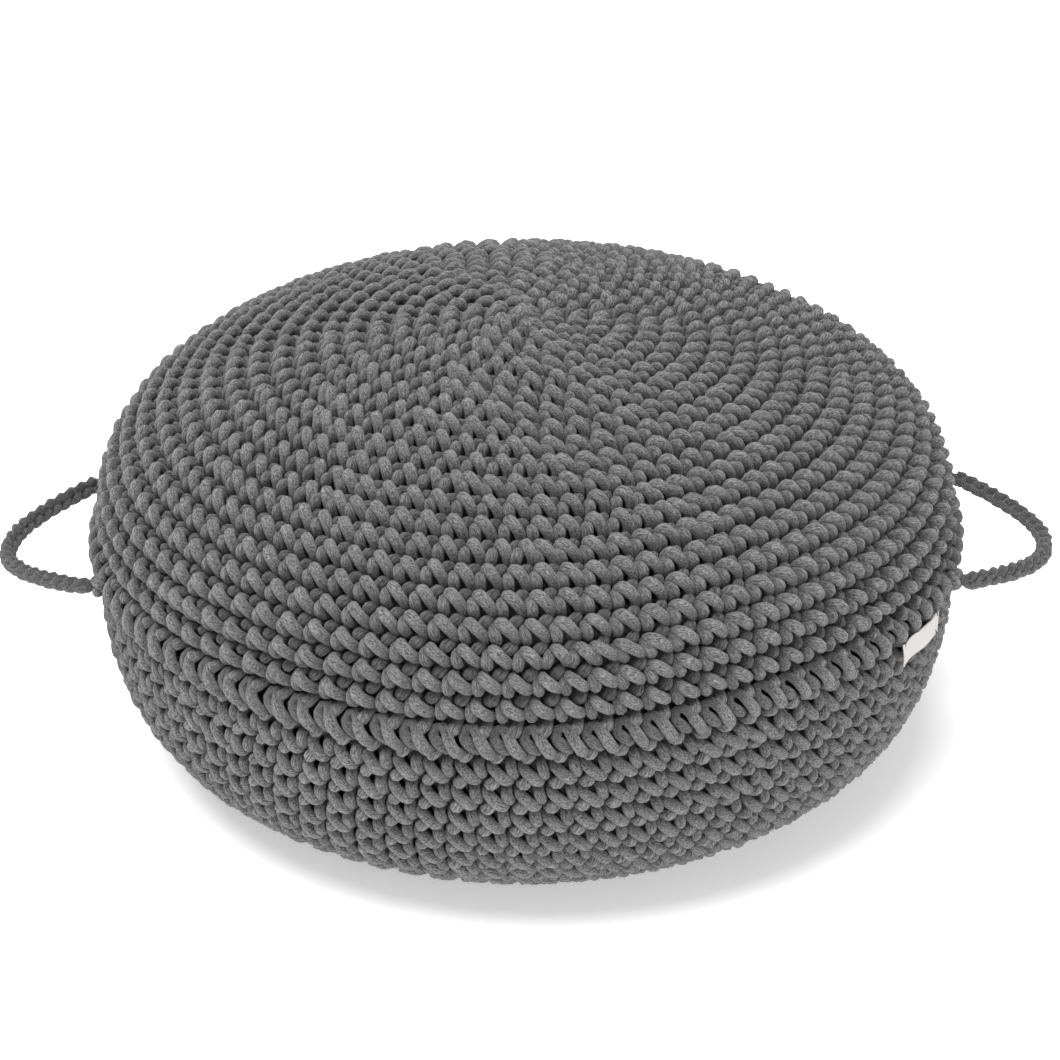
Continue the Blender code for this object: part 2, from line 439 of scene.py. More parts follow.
def colour_steps(tree, value, colour, steps):
    """A colour ramp driven by a value. Each step is a place on it and how light the colour is there."""
    ramp = tree.nodes.new("ShaderNodeValToRGB")
    tree.links.new(value, ramp.inputs["Fac"])
    elements = ramp.color_ramp.elements
    while len(elements) < len(steps):
        elements.new(1.0)
    for element, (place, light) in zip(elements, steps):
        element.position = place
        element.color = (*shade(colour, light), 1.0)
    return ramp.outputs["Color"]


def mix_colours(tree, factor, first, second, blend="MIX"):
    """Two colours mixed by a factor; each may be a result, a colour or a number."""
    node = tree.nodes.new("ShaderNodeMix")
    node.data_type = "RGBA"
    node.blend_type = blend
    for socket, side in ((node.inputs["Factor"], factor), (node.inputs[6], first), (node.inputs[7], second)):
        if isinstance(side, bpy.types.NodeSocket):
            tree.links.new(side, socket)
        else:
            socket.default_value = side if isinstance(side, float) else (*side, 1.0)
    return node.outputs[2]


def finish_shader(tree, shader, colour, roughness, height, strength, distance):
    """Gives a shader its colour and roughness, and raises its surface by a height."""
    tree.links.new(colour, shader.inputs["Base Color"])
    tree.links.new(roughness, shader.inputs["Roughness"])
    bump = tree.nodes.new("ShaderNodeBump")
    set_inputs(bump, {"Strength": strength, "Distance": distance})
    tree.links.new(height, bump.inputs["Height"])
    tree.links.new(bump.outputs["Normal"], shader.inputs["Normal"])


# ---- Materials ----


def yarn_strands_group():
    """Fibres of a soft yarn: fine strands that wind along it, with dark flecks and faint patches."""
    name = "Yarn Strands"
    if name in bpy.data.node_groups:
        return bpy.data.node_groups[name]
    group = bpy.data.node_groups.new(name, "ShaderNodeTree")
    group.interface.new_socket(name="Along And Around", in_out="INPUT", socket_type="NodeSocketVector")
    for title, default in (("Yarn Radius", 0.0032), ("Twist", COVER_TWIST), ("Strand Width", STRAND_WIDTH)):
        socket = group.interface.new_socket(name=title, in_out="INPUT", socket_type="NodeSocketFloat")
        socket.default_value = default
    for title in ("Strands", "Flecks", "Patches", "Height"):
        group.interface.new_socket(name=title, in_out="OUTPUT", socket_type="NodeSocketFloat")
    start = group.nodes.new("NodeGroupInput").outputs
    end = group.nodes.new("NodeGroupOutput").inputs

    along, around, _ = split_vector(group, start["Along And Around"])
    wound = maths(group, "ADD", times(group, around, 2 * math.pi), times(group, along, start["Twist"]))
    strands_wide = maths(group, "DIVIDE", start["Yarn Radius"], start["Strand Width"])
    side = times(group, maths(group, "COSINE", wound), strands_wide)
    rise = times(group, maths(group, "SINE", wound), strands_wide)
    strands_along = maths(group, "DIVIDE", along, start["Strand Width"])
    strand_place = combined(group, maths(group, "DIVIDE", strands_along, 1.7), side, rise)
    fleck_place = combined(group, maths(group, "DIVIDE", strands_along, 1.2), side, rise)
    strands = noise(group, strand_place, 1.0, 2.0, 0.55)
    flecks = noise(group, fleck_place, 1.3, 1.0)
    patches = noise(group, strand_place, 0.12, 1.0)
    group.links.new(stretch(group, strands, 0.32, 0.68), end["Strands"])
    group.links.new(stretch(group, flecks, 0.6, 0.74), end["Flecks"])
    group.links.new(stretch(group, patches, 0.3, 0.7), end["Patches"])
    pits = times(group, stretch(group, flecks, 0.58, 0.78), 0.5)
    group.links.new(maths(group, "SUBTRACT", stretch(group, strands, 0.25, 0.75), pits), end["Height"])
    return group


def new_material(name, colour, roughness, sheen):
    """A material with its uniform values set, and its tree and shader."""
    material = bpy.data.materials.new(name)
    material.use_nodes = True
    tree = material.node_tree
    shader = tree.nodes["Principled BSDF"]
    set_inputs(shader, {"Base Color": (*colour, 1.0), "Roughness": roughness, "Metallic": 0.0})
    set_inputs(shader, {"Specular IOR Level": 0.25, "Sheen Weight": sheen, "Sheen Roughness": 0.45})
    return material, tree, shader


def yarn_material(name, colour, yarn_radius, twist):
    """Soft matte yarn whose strands and flecks follow it, with painted shade where it lies deep in the
    stitches and a painted highlight on its outermost surface.
    """
    material, tree, shader = new_material(name, colour, 0.92, 0.3)
    group = tree.nodes.new("ShaderNodeGroup")
    group.node_tree = yarn_strands_group()
    set_inputs(group, {"Yarn Radius": yarn_radius, "Strand Width": STRAND_WIDTH, "Twist": twist})
    tree.links.new(mapped(tree, "yarn"), group.inputs["Along And Around"])
    strands = group.outputs["Strands"]
    tone = colour_steps(tree, strands, colour, ((0.0, 0.22), (0.4, 0.86), (1.0, 2.15)))
    tone = mix_colours(tree, times(tree, group.outputs["Flecks"], 0.85), tone, shade(colour, 0.22))
    patches = colour_steps(tree, group.outputs["Patches"], WHITE, ((0.0, 0.88), (1.0, 1.1)))
    tone = mix_colours(tree, 1.0, tone, patches, "MULTIPLY")
    # Painted light and shade by depth: the yarn is darkened as painted shade where it lies deep in the
    # stitches and lightened as a painted highlight on its outermost surface.
    depth = tree.nodes.new("ShaderNodeAttribute")
    depth.attribute_name = "depth"
    deep = stretch(tree, depth.outputs["Fac"], 0.0, 4 * yarn_radius)
    painted_light_and_shade = colour_steps(tree, deep, WHITE, ((0.0, 1.14), (0.12, 1.0), (0.44, 0.55), (1.0, 0.36)))
    tone = mix_colours(tree, 1.0, tone, painted_light_and_shade, "MULTIPLY")
    roughness = stretch(tree, strands, 0.0, 1.0, 0.84, 0.97)
    finish_shader(tree, shader, tone, roughness, group.outputs["Height"], 0.9, 0.001)
    return material


def cloth_material(name, colour, thread, contrast):
    """Plain woven cloth of crossing threads, drawn over the piece's own flat map."""
    material, tree, shader = new_material(name, colour, 0.85, 0.15)
    place = mapped(tree, "weave")
    waves = [
        maths(tree, "ABSOLUTE", maths(tree, "SINE", times(tree, part, math.pi / thread)))
        for part in split_vector(tree, place)[:2]
    ]
    weave = times(tree, *waves)
    fuzz = noise(tree, place, 0.4 / thread, 3.0)
    light = maths(tree, "ADD", times(tree, weave, 0.7), times(tree, fuzz, 0.5))
    tone = colour_steps(tree, light, colour, ((0.0, 1.0 - contrast), (1.0, 1.0 + contrast * 0.4)))
    finish_shader(tree, shader, tone, stretch(tree, fuzz, 0.2, 0.8, 0.75, 0.92), weave, 0.5, thread * 0.4)
    return material


def thread_material(name, colour):
    """Sewing thread with fine fibres."""
    material, tree, shader = new_material(name, colour, 0.7, 0.2)
    place = tree.nodes.new("ShaderNodeTexCoord")
    fibres = noise(tree, place.outputs["Object"], 2500.0, 2.0)
    tone = colour_steps(tree, fibres, colour, ((0.3, 0.6), (0.7, 1.5)))
    tree.links.new(tone, shader.inputs["Base Color"])
    tree.links.new(stretch(tree, fibres, 0.3, 0.7, 0.6, 0.85), shader.inputs["Roughness"])
    return material


def kept_material(name, make, colour, *values):
    """The material of that name, made the first time it is asked for."""
    return bpy.data.materials.get(name) or make(name, tuple(colour), *values)


# ---- Shape of the cushion ----


def distances(points):
    """How far along a line each of its points lies."""
    return np.concatenate([[0], np.cumsum(np.linalg.norm(np.diff(points, axis=0), axis=1))])


def part_way(places, distance, rows):
    """Rows of values read off at places along a line."""
    return np.stack([np.interp(places, distance, column) for column in rows.T], -1)


def unit(vectors):
    """Vectors at length one."""
    return vectors / np.maximum(np.linalg.norm(vectors, axis=-1, keepdims=True), 1e-12)


def cushion_outline(shape):
    """The outside curve from the middle of the crown to the middle of the foot, by distance along it.

    It runs on a little past both middles, with radii below zero, so that stitches can cross them.
    """
    angle = np.linspace(0, math.pi / 2, 1600)
    rise = shape.crown_height - shape.seam_height
    across, up = (2 / power for power in CROWN_POWERS)
    cosine = np.clip(np.cos(angle), 0, None)
    upper = np.stack([shape.radius * cosine**across, shape.seam_height + rise * np.sin(angle) ** up], 1)[::-1]
    across, up = (2 / power for power in FOOT_POWERS)
    side = shape.radius - shape.foot_radius
    lower = np.stack(
        [shape.foot_radius + side * cosine**across, shape.seam_height * (1 - np.sin(angle) ** up)], 1
    )
    foot = np.stack([np.linspace(shape.foot_radius, 0, 400), np.zeros(400)], 1)
    upper[0, 0] = 0
    points = np.concatenate([upper, lower[1:], foot[1:]])
    start, end = points[1:60][::-1] * (-1, 1), points[-60:-1][::-1] * (-1, 1)
    before = len(start)
    seam = before + len(upper) - 1
    last = before + len(points) - 1
    points = np.concatenate([start, points, end])
    reach = distances(points)
    reach -= reach[before]
    tangent = unit(np.gradient(points, reach, axis=0))
    out = np.stack([-tangent[:, 1], tangent[:, 0]], 1)
    return {
        "reach": reach,
        "radius": points[:, 0],
        "height": points[:, 1],
        "out_radius": out[:, 0],
        "out_height": out[:, 1],
        "seam": reach[seam],
        "foot": reach[last],
    }


def seam_wander(turn):
    """How far the stitches near the seam drop at an angle round the cushion."""
    total = 0
    for angle, width, drop in SEAM_WANDER:
        away = np.mod(turn - math.radians(angle) + math.pi, 2 * math.pi) - math.pi
        total = total + drop * np.exp(-((away / math.radians(width)) ** 2))
    return total


def on_cushion(outline, turn, reach, lift):
    """Places at an angle round the cushion, a distance along its outline and a lift off it."""
    along = outline["reach"]
    reach = reach + seam_wander(turn) * np.exp(-(((reach - outline["seam"]) / WANDER_REACH) ** 2))
    radius, height, out_radius, out_height = (
        np.interp(reach, along, outline[key]) for key in ("radius", "height", "out_radius", "out_height")
    )
    flat = radius + lift * out_radius
    return np.stack([flat * np.cos(turn), flat * np.sin(turn), height + lift * out_height], -1)


# ---- Yarn as tubes ----


def curve_samples(table):
    """For each drawn section of a stitch: the first of its four control points, and their weights."""
    first, weights = [], []
    for index, row in enumerate(table):
        for step in range(row[4]):
            t = step / row[4]
            first.append(index - 1)
            weights.append(
                (
                    -0.5 * t + t**2 - 0.5 * t**3,
                    1 - 2.5 * t**2 + 1.5 * t**3,
                    0.5 * t + 2 * t**2 - 1.5 * t**3,
                    -0.5 * t**2 + 0.5 * t**3,
                )
            )
    return np.array(first), np.array(weights)


def draw_round(controls, table):
    """Smooth line of one closed round: controls are (stitches, rows, values)."""
    first, weights = curve_samples(table)
    stitches, rows, values = controls.shape
    flat = controls.reshape(-1, values)
    index = np.arange(stitches)[:, None] * rows + first[None]
    total = stitches * rows
    drawn = sum(weights[None, :, corner, None] * flat[(index + corner) % total] for corner in range(4))
    return drawn.reshape(-1, values)


def tube_rings(line, outward, per_stitch, sides, closed=True):
    """A tube round a line of (x, y, z, radius, depth), as its corners, distances along it and their depths.

    The tube's sides follow the line without turning, and each stitch takes up what turn is left over. Depth
    is how far under the outside of the stitches the line lies.
    """
    points, radii = line[:, :3], line[:, 3]
    ahead = unit(np.roll(points, -1, 0) - np.roll(points, 1, 0) if closed else np.gradient(points, axis=0))
    count = len(points) // per_stitch
    heading = ahead.reshape(count, per_stitch, 3)
    spoke = np.empty_like(heading)
    start = outward.reshape(count, per_stitch, 3)[:, 0]
    spoke[:, 0] = unit(start - heading[:, 0] * np.sum(start * heading[:, 0], 1, keepdims=True))
    for step in range(1, per_stitch + 1):
        now = heading[:, step] if step < per_stitch else np.roll(heading[:, 0], -1, 0)
        carried = unit(spoke[:, step - 1] - now * np.sum(spoke[:, step - 1] * now, 1, keepdims=True))
        if step < per_stitch:
            spoke[:, step] = carried
    wanted = np.roll(spoke[:, 0], -1, 0)
    left_over = np.arctan2(np.sum(np.cross(carried, wanted) * now, 1), np.sum(carried * wanted, 1))
    if not closed:
        left_over[-1] = 0
    turn = left_over[:, None, None] * np.arange(per_stitch)[None, :, None] / per_stitch
    spoke = (spoke * np.cos(turn) + np.cross(heading, spoke) * np.sin(turn)).reshape(-1, 3)
    beside = np.cross(ahead, spoke)
    angle = 2 * math.pi * np.arange(sides) / sides
    ring = np.cos(angle)[None, :, None] * spoke[:, None] + np.sin(angle)[None, :, None] * beside[:, None]
    corners = points[:, None] + ring * radii[:, None, None]
    depths = line[:, 4:5] - np.einsum("ksi,ki->ks", ring, outward) * radii[:, None]
    return corners, distances(np.concatenate([points, points[:1]]) if closed else points), depths


def link_new(name, content):
    """A new object of that name in the scene."""
    made = bpy.data.objects.new(name, content)
    bpy.context.scene.collection.objects.link(made)
    return made


def map_corners(u0, u1, v0, v1, full):
    """Places on a map at the corners of a tube's faces, from the faces' low and high edges."""
    corners = ((u0, v0), (u0, v1), (u1, v1), (u1, v0))
    return np.stack([np.stack([u * full, v * full], -1) for u, v in corners], 2)


def tube_mesh(name, tubes, material, closed=True):
    """One object from tubes.

    Its "yarn" map follows the yarn, its "OFBake" map lies flat, and "depth" is a value at its corners that
    the yarn material turns into painted light and shade.
    """
    sides = tubes[0][0].shape[1]
    sections = sum(len(tube[0]) if closed else len(tube[0]) - 1 for tube in tubes)
    columns = max(1, round(math.sqrt(sections * sides)))
    rows = -(-sections // columns)
    places, faces, yarn_map, flat_map, caps = [], [], [], [], []
    first_corner, first_section = 0, 0
    side = np.arange(sides)
    next_side = (side + 1) % sides
    v0, v1 = (side / sides)[None], ((side + 1) / sides)[None]
    for number, (corners, distance, _) in enumerate(tubes):
        count = len(corners)
        used = count if closed else count - 1
        section = np.arange(used)
        near = first_corner + section[:, None] * sides
        far = first_corner + ((section + 1) % count)[:, None] * sides
        ring_faces = np.stack([near + side, near + next_side, far + next_side, far + side], -1)
        faces.append(ring_faces.reshape(-1, 4))
        full = np.ones((used, sides))
        u0, u1 = ((distance[section + step] + number * 1.7)[:, None] for step in (0, 1))
        yarn_map.append(map_corners(u0, u1, v0, v1, full))
        cell = first_section + section
        column, row = (cell % columns)[:, None], (cell // columns)[:, None]
        y0, y1 = ((row + v * 0.96 + 0.02) / rows for v in (v0, v1))
        flat_map.append(map_corners(column / columns, (column + 1) / columns, y0, y1, full))
        places.append(corners.reshape(-1, 3))
        if not closed:
            caps.append((first_corner + side[::-1], yarn_map[-1][0], flat_map[-1][0]))
            caps.append((first_corner + (count - 1) * sides + side, yarn_map[-1][-1], flat_map[-1][-1]))
        first_corner += count * sides
        first_section += used
    places, faces = np.concatenate(places), np.concatenate(faces)
    mesh = bpy.data.meshes.new(name)
    mesh.vertices.add(len(places))
    mesh.vertices.foreach_set("co", places.ravel().astype(np.float32))
    corner_rows = np.concatenate([faces.ravel()] + [cap[0] for cap in caps]).astype(np.int32)
    mesh.loops.add(len(corner_rows))
    mesh.loops.foreach_set("vertex_index", corner_rows)
    sizes = np.concatenate([np.full(len(faces), 4), np.full(len(caps), sides)]).astype(np.int32)
    mesh.polygons.add(len(sizes))
    mesh.polygons.foreach_set("loop_start", (np.cumsum(sizes) - sizes).astype(np.int32))
    mesh.update(calc_edges=True)
    for title, parts, which in (("yarn", yarn_map, 1), ("OFBake", flat_map, 2)):
        layer = mesh.uv_layers.new(name=title)
        ends = [cap[which].mean(1) for cap in caps]
        spread = np.concatenate([part.reshape(-1, 2) for part in parts] + ends)
        layer.data.foreach_set("uv", spread.ravel().astype(np.float32))
    # Depth under the outside of the stitches, which the yarn material uses for painted shade in hollows and a
    # painted highlight on outer yarn.
    depth = mesh.attributes.new("depth", "FLOAT", "POINT")
    depth.data.foreach_set("value", np.concatenate([tube[2].ravel() for tube in tubes]).astype(np.float32))
    mesh.shade_smooth()
    mesh.materials.append(material)
    return link_new(name, mesh)


def cloth_mesh(name, places, faces, flat, material):
    """One object from corners and faces, with the cloth's flat places as its "weave" map."""
    mesh = bpy.data.meshes.new(name)
    mesh.from_pydata([tuple(place) for place in places], [], faces)
    layer = mesh.uv_layers.new(name="weave")
    corner = np.empty(len(mesh.loops), np.int32)
    mesh.loops.foreach_get("vertex_index", corner)
    layer.data.foreach_set("uv", flat[corner].ravel().astype(np.float32))
    mesh.shade_smooth()
    mesh.materials.append(material)
    return link_new(name, mesh)


def finish_piece(piece, body, slot, *nodes):
    """Rides a piece on its body and hides the CAD nodes it stands for; slot is not used."""
    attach(piece, body)
    if nodes:
        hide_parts(*nodes)
    return piece


# ---- Crochet ----


def plan_rounds(crochet, rounds, hand, draw):
    """Angles of the stitches in each round, as a list of (own angle, angle of the stitch it is worked into).

    Hand is which way the stitches' across goes round the cushion, +1 or -1.
    """
    plan = []
    for number in range(1, rounds + 1):
        late = max(0, number - rounds + crochet.late_rounds)
        count = crochet.start_stitches * min(number, crochet.growing_rounds) + 2 * late
        width = hand * 2 * math.pi / count
        if not plan:
            own = -np.arange(count) * width
            plan.append((own, own.copy()))
            continue
        parents = plan[-1][0]
        base = []
        added = count - len(parents)
        share = len(parents) / added if added else 0
        first = draw.uniform(0, share) if added else 0
        doubled = {int(first + step * share) % len(parents) for step in range(added)}
        for index, parent in enumerate(parents):
            if index in doubled:
                base += [parent + 0.24 * width, parent - 0.24 * width]
            else:
                base.append(parent)
        base = np.array(base) + crochet.lean * width
        even = -np.arange(len(base)) * width
        stray = base - even
        for _ in range(12):
            stray = (np.roll(stray, 1) + stray + np.roll(stray, -1)) / 3
        plan.append((even + stray, base))
    return plan


def crochet_round(
    outline, crochet, table, own, base, hand, middle, row_height, draw, relief, lift=0.0, top_lift=0.0
):
    """The yarn of one closed round of stitches as a tube.

    Middle is how far along the outline the round's middle lies. Newer rounds lie further along it where hand
    is -1. Lift raises the whole round, and top_lift its top loops.
    """
    shape = np.array(table)[:, :4]
    count = len(own)
    stray = draw.uniform(-1, 1, (count, 1, 3)) * crochet.unevenness
    stray = stray + draw.uniform(-1, 1, (count, len(shape), 3)) * crochet.unevenness * 0.4
    across = shape[None, :, 0] + stray[..., 0]
    along = shape[None, :, 1] + stray[..., 1]
    out = shape[None, :, 2] + stray[..., 2] * 0.8
    tall = np.clip(along + 0.5, 0, 1)
    eased = tall * tall * (3 - 2 * tall)
    width = 2 * math.pi / count
    slant = np.clip(base - own, -0.3 * width, 0.3 * width)
    turn = own[:, None] + slant[:, None] * (1 - eased) + across * hand * width
    reach = middle - hand * along * row_height
    size = crochet.stitch_size * relief
    outermost = max(row[2] for row in table) * size + 1.09 * crochet.yarn_radius
    depths = outermost - out * size - top_lift * np.clip((along - 0.4) * 8, 0, 1)
    places = on_cushion(outline, turn, reach, lift - depths)
    raised = on_cushion(outline, turn, reach, lift - depths + 0.001)
    thickness = shape[None, :, 3] * crochet.yarn_radius * (1 + draw.uniform(-1, 1, (count, 1)) * 0.05)
    line = draw_round(np.concatenate([places, thickness[..., None], depths[..., None]], -1), table)
    outward = unit(draw_round(raised, table) - line[:, :3])
    return tube_rings(line, outward, sum(row[4] for row in table), COVER_SIDES)


def coarse(table):
    """The same stitch, drawn with one section for each of its rows."""
    return tuple(row[:4] + (1,) for row in table)


def flattened(table, share):
    """The same stitch with what stands proud of its middle pressed down to a share of that."""
    return tuple(row[:2] + (min(row[2], row[2] * share),) + row[3:] for row in table)


def crochet_cover(scene, name, node, table, rounds, splits, hand, start, length, tightness, relief, lifts):
    """Crochets one cover from its middle to the seam, over a length of the outline.

    Relief is how deeply its stitches are modelled, and lifts how much the top loops stand proud, in all its
    rounds and in the last one.
    """
    if rounds <= splits[-1]:
        raise ValueError(f"{name} needs more than {splits[-1]} rounds")
    outline = cushion_outline(scene.cushion_shape)
    crochet = scene.cushion_crochet
    draw = np.random.default_rng(len(name) * 7)
    plan = plan_rounds(crochet, rounds, hand, draw)
    spare = -plan[-1][0][0]
    heights = 1 + tightness * (np.arange(rounds) - (rounds - 1) / 2) / (rounds / 2)
    heights *= length / heights.sum()
    middles = start - hand * (np.cumsum(heights) - heights / 2)
    yarn = scene.cushion_colours.yarn
    material = kept_material("cover_yarn_soft", yarn_material, yarn, crochet.yarn_radius, COVER_TWIST)
    for number, (first, last) in enumerate(zip((0, *splits), (*splits, rounds)), 1):
        tubes = [
            crochet_round(
                outline, crochet, coarse(table) if hand > 0 and index < COARSE_ROUNDS else table,
                plan[index][0] + spare, plan[index][1] + spare, hand, middles[index], heights[index],
                draw, relief, top_lift=lifts[index == rounds - 1],
            )
            for index in range(first, last)
        ]
        finish_piece(tube_mesh(f"{name}_{number}", tubes, material), "cushion", "cover_yarn", node)


class CUSHION_OT_upper_cover(bpy.types.Operator):
    """Crochets the upper cover, from the crown to the seam"""

    bl_idname = "cushion.upper_cover"
    bl_label = "Upper Cover"

    def execute(self, context):
        crochet = context.scene.cushion_crochet
        length = cushion_outline(context.scene.cushion_shape)["seam"] - crochet.joining_height / 2
        crochet_cover(
            context.scene, "upper_crochet", "upper_cover", SINGLE_CROCHET, crochet.upper_rounds, UPPER_SPLITS,
            -1, 0.0, length, crochet.tightness, crochet.upper_relief, (0.0, crochet.edge_lift),
        )
        return {"FINISHED"}


class CUSHION_OT_base_cover(bpy.types.Operator):
    """Crochets the base cover, from the middle of the foot to the seam"""

    bl_idname = "cushion.base_cover"
    bl_label = "Base Cover"

    def execute(self, context):
        crochet = context.scene.cushion_crochet
        outline = cushion_outline(context.scene.cushion_shape)
        crochet_cover(
            context.scene, "base_crochet", "base_cover", flattened(SINGLE_CROCHET, crochet.base_press),
            crochet.base_rounds, BASE_SPLITS, 1, outline["foot"],
            outline["foot"] - outline["seam"] - crochet.joining_height / 2, 0.0, crochet.base_relief,
            (crochet.base_loop_lift,) * 2,
        )
        return {"FINISHED"}


class CUSHION_OT_joining_round(bpy.types.Operator):
    """Crochets the round that joins the two covers"""

    bl_idname = "cushion.joining_round"
    bl_label = "Joining Round"

    def execute(self, context):
        scene = context.scene
        crochet = scene.cushion_crochet
        outline = cushion_outline(scene.cushion_shape)
        count = crochet.start_stitches * crochet.growing_rounds + 2 * crochet.late_rounds
        own = -(np.arange(count) + 0.41) * 2 * math.pi / count
        tube = crochet_round(
            outline, crochet, JOINING_STITCH, own, own, 1, outline["seam"], crochet.joining_height,
            np.random.default_rng(5), 1.0, lift=crochet.joining_lift,
        )
        yarn = scene.cushion_colours.yarn
        material = kept_material("joining_yarn_soft", yarn_material, yarn, crochet.yarn_radius, COVER_TWIST)
        finish_piece(tube_mesh("joining_round", [tube], material), "cushion", "braid_yarn", "seam_braid")
        return {"FINISHED"}


# ---- Handles ----


def handle_path(handles, height, side, count):
    """Middle line of a handle at even distances, from its front end to its back end, and its level direction.

    Side is +1 for the right handle and -1 for the left.
    """
    turn = -handles.lead if side > 0 else math.pi + handles.lead
    middle = np.array((math.cos(turn), math.sin(turn), 0.0))
    along = np.array((-middle[1], middle[0], 0.0)) * side
    half = handles.seat * math.sin(handles.spread / 2)
    root = middle * handles.seat * math.cos(handles.spread / 2) + (0, 0, height)
    out = middle * math.cos(handles.droop) - np.array((0, 0, math.sin(handles.droop)))
    step = np.linspace(-1, 1, 400)[:, None]
    line = root + out * handles.reach * (1 - step**2) + along * half * step
    distance = distances(line)
    return part_way(np.linspace(0, distance[-1], count), distance, line), np.cross(along, out) * side


def chain_cord(path, front, pitch, yarn_radius, draw):
    """Chain-stitch cord along a path of even steps, as one open tube."""
    ahead = unit(np.gradient(path, axis=0))
    distance = distances(path)
    links = round(distance[-1] / pitch)
    pitch = distance[-1] / links
    table = np.array(CHAIN_LINK)[:, :4]
    number = np.arange(-1, links + 1)[:, None]
    stray = draw.uniform(-0.04, 0.04, (len(number), len(table), 3))
    place = np.clip((number + table[None, :, 0] + stray[..., 0]) * pitch, 0, distance[-1])
    middle = part_way(place, distance, path)
    heading = unit(part_way(place, distance, ahead))
    beside = np.cross(front, heading)
    across = (table[None, :, 1] + stray[..., 1])[..., None] * pitch
    proud = (table[None, :, 2] + stray[..., 2])[..., None] * pitch
    places = middle + beside * across + front * proud
    thickness = np.broadcast_to(table[None, :, 3] * yarn_radius, place.shape)[..., None]
    depths = yarn_radius + 0.3 * pitch - proud.max(-1, keepdims=True)
    per_link = sum(row[4] for row in CHAIN_LINK)
    line = draw_round(np.concatenate([places, thickness, depths], -1), CHAIN_LINK)[per_link:-per_link]
    outward = np.broadcast_to(front, (len(line), 3))
    return tube_rings(line, outward, per_link, HANDLE_SIDES, closed=False)


def root_knot(place, outward, size, yarn_radius):
    """A small overhand knot in the seam, where a handle is tied on, as one closed tube."""
    turn = np.linspace(0, 2 * math.pi, 97)[:-1, None]
    up = np.array((0.0, 0.0, 1.0))
    beside = np.cross(up, outward)
    line = (
        place
        + beside * size * (np.sin(turn) + 2 * np.sin(2 * turn))
        + up * size * (np.cos(turn) - 2 * np.cos(2 * turn))
        - outward * size * 1.3 * np.sin(3 * turn)
    )
    line = np.concatenate([line, np.full((len(line), 2), yarn_radius)], 1)
    return tube_rings(line, np.broadcast_to(outward, (len(line), 3)), len(line), HANDLE_SIDES)


class CUSHION_OT_handles(bpy.types.Operator):
    """Makes the two cord handles and the knots that tie them to the seam"""

    bl_idname = "cushion.handles"
    bl_label = "Handles"

    def execute(self, context):
        scene = context.scene
        handles, shape = scene.cushion_handles, scene.cushion_shape
        draw = np.random.default_rng(11)
        yarn = scene.cushion_colours.yarn
        material = kept_material("handle_yarn_soft", yarn_material, yarn, handles.yarn_radius, HANDLE_TWIST)
        knots = []
        for name, side in (("left", -1), ("right", 1)):
            path, front = handle_path(handles, shape.seam_height, side, 33)
            cord = chain_cord(path, front, handles.link, handles.yarn_radius, draw)
            piece = tube_mesh(f"handle_cord_{name}", [cord], material, closed=False)
            finish_piece(piece, f"loop_{name}", "handle_rope", f"handle_{name}")
            for end in (path[0], path[-1]):
                outward = unit(end * (1, 1, 0))
                place = end - outward * handles.knot_depth
                knots.append(root_knot(place, outward, handles.knot_size, handles.yarn_radius))
        finish_piece(tube_mesh("handle_knots", knots, material), "cushion", "handle_rope")
        return {"FINISHED"}


# ---- Label and inner cushion ----


